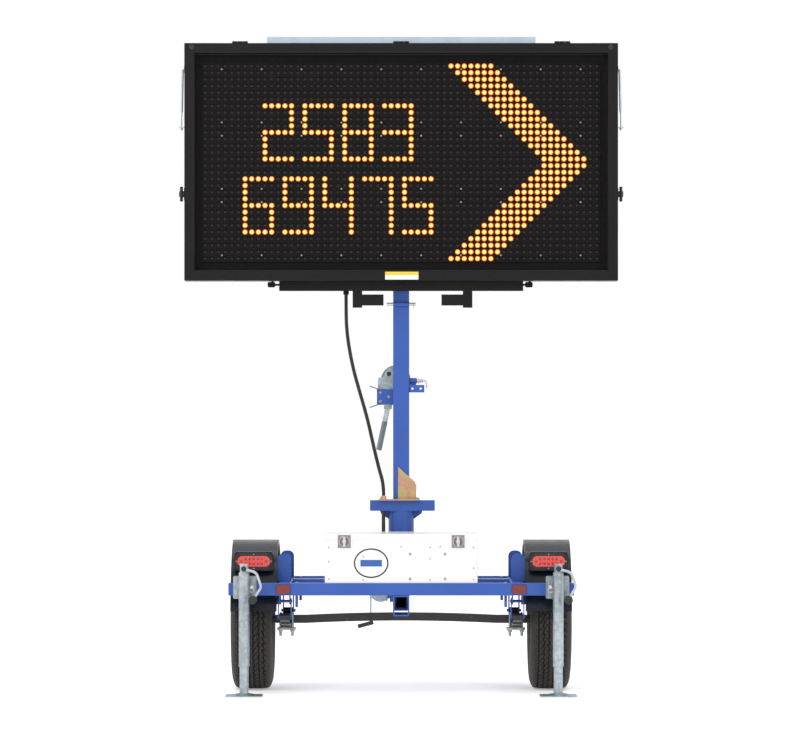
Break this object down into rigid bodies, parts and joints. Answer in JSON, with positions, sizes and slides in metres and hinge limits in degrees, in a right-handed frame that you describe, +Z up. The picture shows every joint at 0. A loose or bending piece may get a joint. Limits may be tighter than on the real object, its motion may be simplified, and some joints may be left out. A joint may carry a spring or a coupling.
{
  "type": "arrow board trailer",
  "caption": "Solar message board on a winch-raised, turning mast over a small road trailer with leaf springs, swivel jacks, battery box and a ball-coupler tongue.",
  "frame": {"origin": "middle of the underside of the trailer's box, on the road", "axes": "+Y towards the tongue (towing direction), +Z up, +X to the right seen from behind"},
  "size_m": [2.2, 2.9374, 3.22],
  "materials": {
    "blue_paint": "satin",
    "galvanised": "satin",
    "yellow_zinc": "satin",
    "bright_steel": "polished",
    "black_steel": "satin",
    "cabinet_black": "satin",
    "white_paint": "satin",
    "fender_plastic": "gloss",
    "black_plastic": "matte",
    "battery_case": "matte",
    "lamp_red": "gloss",
    "reflector_red": "gloss",
    "tyre_rubber": "matte",
    "display_plastic": "matte",
    "panel_frame": "satin",
    "silver_paint": "satin"
  },
  "bodies": {
    "chassis": {"cross_beams": "blue_paint", "side_rails": "blue_paint", "receiver_tubes": "blue_paint", "frame_brackets": "blue_paint", "mast_post": "blue_paint", "fenders": "fender_plastic", "tail_light_bezels": "black_plastic", "tail_light_lenses": "lamp_red", "reflectors": "reflector_red", "battery_box": "white_paint", "batteries": "battery_case", "spring_hangers": "blue_paint", "jack_mounts": "galvanised", "tongue_tube": "blue_paint", "coupler": "galvanised", "lower_conduit": "black_plastic"},
    "axle": {"axle_beam": "black_steel", "leaf_springs": "black_steel", "u_bolts": "galvanised"},
    "wheel_left": {"tyre_left": "tyre_rubber", "rim_left": "silver_paint"},
    "wheel_right": {"tyre_right": "tyre_rubber", "rim_right": "silver_paint"},
    "lid": {"box_lid": "white_paint"},
    "lid_latch_left": {"box_latch_left": "bright_steel"},
    "lid_latch_right": {"box_latch_right": "bright_steel"},
    "coupler_lever": {"coupler_latch": "galvanised"},
    "tongue_jack": {"tongue_jack_tube": "galvanised"},
    "tongue_jack_foot": {"tongue_jack_leg": "galvanised"},
    "tongue_jack_handle": {"tongue_jack_crank": "galvanised"},
    "mast": {"outer_mast": "blue_paint", "mast_foot": "yellow_zinc", "winch_frame": "galvanised"},
    "drum": {"winch_drum": "galvanised"},
    "winch_handle": {"winch_crank": "galvanised"},
    "lock_pin": {"safety_pin": "bright_steel"},
    "plunger": {"travel_latch": "bright_steel"},
    "sign": {"inner_mast": "galvanised", "sign_carrier": "cabinet_black", "cabinet": "cabinet_black", "solar_panel": "panel_frame", "conduit": "black_plastic"},
    "door": {"door_frame": "cabinet_black", "led_board": "display_plastic"},
    "stay_left": {"prop_left": "bright_steel"},
    "stay_right": {"prop_right": "bright_steel"},
    "handle_left": {"side_handle_left": "black_plastic"},
    "handle_right": {"side_handle_right": "black_plastic"},
    "jack_rear_left": {"jack_tube_rear_left": "galvanised"},
    "foot_rear_left": {"jack_leg_rear_left": "galvanised"},
    "handle_rear_left": {"jack_crank_rear_left": "galvanised"},
    "jack_rear_right": {"jack_tube_rear_right": "galvanised"},
    "foot_rear_right": {"jack_leg_rear_right": "galvanised"},
    "handle_rear_right": {"jack_crank_rear_right": "galvanised"},
    "jack_front_left": {"jack_tube_front_left": "galvanised"},
    "foot_front_left": {"jack_leg_front_left": "galvanised"},
    "handle_front_left": {"jack_crank_front_left": "galvanised"},
    "jack_front_right": {"jack_tube_front_right": "galvanised"},
    "foot_front_right": {"jack_leg_front_right": "galvanised"},
    "handle_front_right": {"jack_crank_front_right": "galvanised"}
  },
  "joints": [
    {"name": "axle_travel", "type": "slide", "parent": "chassis", "child": "axle", "axis": [0, 0, 1], "range_m": [0, 0.035], "stiffness_N_per_m": 60000, "deforming": ["leaf_springs"]},
    {"name": "wheel_left_spin", "type": "hinge", "parent": "axle", "child": "wheel_left", "pos_m": [-0.732, -0.7363, 0.3445], "axis": [1, 0, 0], "continuous": true},
    {"name": "wheel_right_spin", "type": "hinge", "parent": "axle", "child": "wheel_right", "pos_m": [0.732, -0.7363, 0.3445], "axis": [1, 0, 0], "continuous": true},
    {"name": "box_lid_hinge", "type": "hinge", "parent": "chassis", "child": "lid", "pos_m": [0, -0.7403, 0.772], "axis": [-1, 0, 0], "range_deg": [0, 75]},
    {"name": "box_latch_left_turn", "type": "hinge", "parent": "lid", "child": "lid_latch_left", "pos_m": [-0.275, -1.2143, 0.741], "axis": [0, 1, 0], "range_deg": [0, 90]},
    {"name": "box_latch_right_turn", "type": "hinge", "parent": "lid", "child": "lid_latch_right", "pos_m": [0.275, -1.2143, 0.741], "axis": [0, -1, 0], "range_deg": [0, 90]},
    {"name": "coupler_latch_lift", "type": "hinge", "parent": "chassis", "child": "coupler_lever", "pos_m": [0, 1.3487, 0.4945], "axis": [-1, 0, 0], "range_deg": [0, 70]},
    {"name": "tongue_jack_swivel", "type": "hinge", "parent": "chassis", "child": "tongue_jack", "pos_m": [-0.112, 0.8637, 0.405], "axis": [-1, 0, 0], "range_deg": [0, 90]},
    {"name": "tongue_jack_extend", "type": "slide", "parent": "tongue_jack", "child": "tongue_jack_foot", "axis": [0, 1, 0], "range_m": [0, 0.24]},
    {"name": "tongue_jack_crank_turn", "type": "hinge", "parent": "tongue_jack", "child": "tongue_jack_handle", "pos_m": [-0.112, 0.7187, 0.405], "axis": [-1, 0, 0], "range_deg": [0, 8642]},
    {"name": "jack_rear_left_swivel", "type": "hinge", "parent": "chassis", "child": "jack_rear_left", "pos_m": [-0.755, -1.3213, 0.52], "axis": [0, -1, 0], "range_deg": [0, 90]},
    {"name": "jack_rear_left_extend", "type": "slide", "parent": "jack_rear_left", "child": "foot_rear_left", "axis": [0, 0, 1], "range_m": [-0.25, 0.11]},
    {"name": "jack_rear_left_crank_turn", "type": "hinge", "parent": "jack_rear_left", "child": "handle_rear_left", "pos_m": [-0.755, -1.3213, 0.614], "axis": [0, -1, 0], "range_deg": [-9002, 3962]},
    {"name": "jack_rear_right_swivel", "type": "hinge", "parent": "chassis", "child": "jack_rear_right", "pos_m": [0.755, -1.3213, 0.52], "axis": [0, 1, 0], "range_deg": [0, 90]},
    {"name": "jack_rear_right_extend", "type": "slide", "parent": "jack_rear_right", "child": "foot_rear_right", "axis": [0, 0, 1], "range_m": [-0.25, 0.11]},
    {"name": "jack_rear_right_crank_turn", "type": "hinge", "parent": "jack_rear_right", "child": "handle_rear_right", "pos_m": [0.755, -1.3213, 0.614], "axis": [0, -1, 0], "range_deg": [-9002, 3962]},
    {"name": "jack_front_left_swivel", "type": "hinge", "parent": "chassis", "child": "jack_front_left", "pos_m": [-0.755, -0.1513, 0.52], "axis": [0, -1, 0], "range_deg": [0, 90]},
    {"name": "jack_front_left_extend", "type": "slide", "parent": "jack_front_left", "child": "foot_front_left", "axis": [0, 0, 1], "range_m": [-0.25, 0.11]},
    {"name": "jack_front_left_crank_turn", "type": "hinge", "parent": "jack_front_left", "child": "handle_front_left", "pos_m": [-0.755, -0.1513, 0.614], "axis": [0, 1, 0], "range_deg": [-9002, 3962]},
    {"name": "jack_front_right_swivel", "type": "hinge", "parent": "chassis", "child": "jack_front_right", "pos_m": [0.755, -0.1513, 0.52], "axis": [0, 1, 0], "range_deg": [0, 90]},
    {"name": "jack_front_right_extend", "type": "slide", "parent": "jack_front_right", "child": "foot_front_right", "axis": [0, 0, 1], "range_m": [-0.25, 0.11]},
    {"name": "jack_front_right_crank_turn", "type": "hinge", "parent": "jack_front_right", "child": "handle_front_right", "pos_m": [0.755, -0.1513, 0.614], "axis": [0, 1, 0], "range_deg": [-9002, 3962]},
    {"name": "mast_turn", "type": "hinge", "parent": "chassis", "child": "mast", "pos_m": [0, -0.6363, 0.93], "axis": [0, 0, 1], "range_deg": [-180, 180]},
    {"name": "sign_lift", "type": "slide", "parent": "mast", "child": "sign", "axis": [0, 0, 1], "range_m": [-0.75, 0], "deforming": ["conduit"]},
    {"name": "winch_drum_turn", "type": "hinge", "parent": "mast", "child": "drum", "pos_m": [-0.027, -0.5573, 1.528], "axis": [0, 1, 0], "range_deg": [-1344, 0]},
    {"name": "winch_crank_turn", "type": "hinge", "parent": "mast", "child": "winch_handle", "pos_m": [-0.066, -0.5123, 1.396], "axis": [0, 1, 0], "range_deg": [0, 5373]},
    {"name": "lock_pin_pull", "type": "slide", "parent": "mast", "child": "lock_pin", "axis": [1, 0, 0], "range_m": [0, 0.16]},
    {"name": "mast_latch_pull", "type": "slide", "parent": "mast", "child": "plunger", "axis": [1, 0, 0], "range_m": [0, 0.014], "stiffness_N_per_m": 900, "springref_m": -0.01},
    {"name": "display_door_hinge", "type": "hinge", "parent": "sign", "child": "door", "pos_m": [0, -0.8063, 3.191], "axis": [-1, 0, 0], "range_deg": [0, 75]},
    {"name": "stay_left_swing", "type": "hinge", "parent": "sign", "child": "stay_left", "pos_m": [-1.067, -0.7603, 3.062], "axis": [-1, 0, 0], "range_deg": [0, 75]},
    {"name": "side_latch_left_turn", "type": "hinge", "parent": "sign", "child": "handle_left", "pos_m": [-1.067, -0.7703, 2.445], "axis": [1, 0, 0], "range_deg": [0, 90]},
    {"name": "stay_right_swing", "type": "hinge", "parent": "sign", "child": "stay_right", "pos_m": [1.067, -0.7603, 3.062], "axis": [-1, 0, 0], "range_deg": [0, 75]},
    {"name": "side_latch_right_turn", "type": "hinge", "parent": "sign", "child": "handle_right", "pos_m": [1.067, -0.7703, 2.445], "axis": [1, 0, 0], "range_deg": [0, 90]}
  ],
  "couplings": [
    {"joint": "tongue_jack_crank_turn", "follows": "tongue_jack_extend", "rad_per_m": 628.32},
    {"joint": "jack_rear_left_crank_turn", "follows": "jack_rear_left_extend", "rad_per_m": 628.32},
    {"joint": "jack_rear_right_crank_turn", "follows": "jack_rear_right_extend", "rad_per_m": 628.32},
    {"joint": "jack_front_left_crank_turn", "follows": "jack_front_left_extend", "rad_per_m": 628.32},
    {"joint": "jack_front_right_crank_turn", "follows": "jack_front_right_extend", "rad_per_m": 628.32},
    {"joint": "winch_drum_turn", "follows": "sign_lift", "rad_per_m": 31.25},
    {"joint": "winch_crank_turn", "follows": "sign_lift", "rad_per_m": -125}
  ]
}
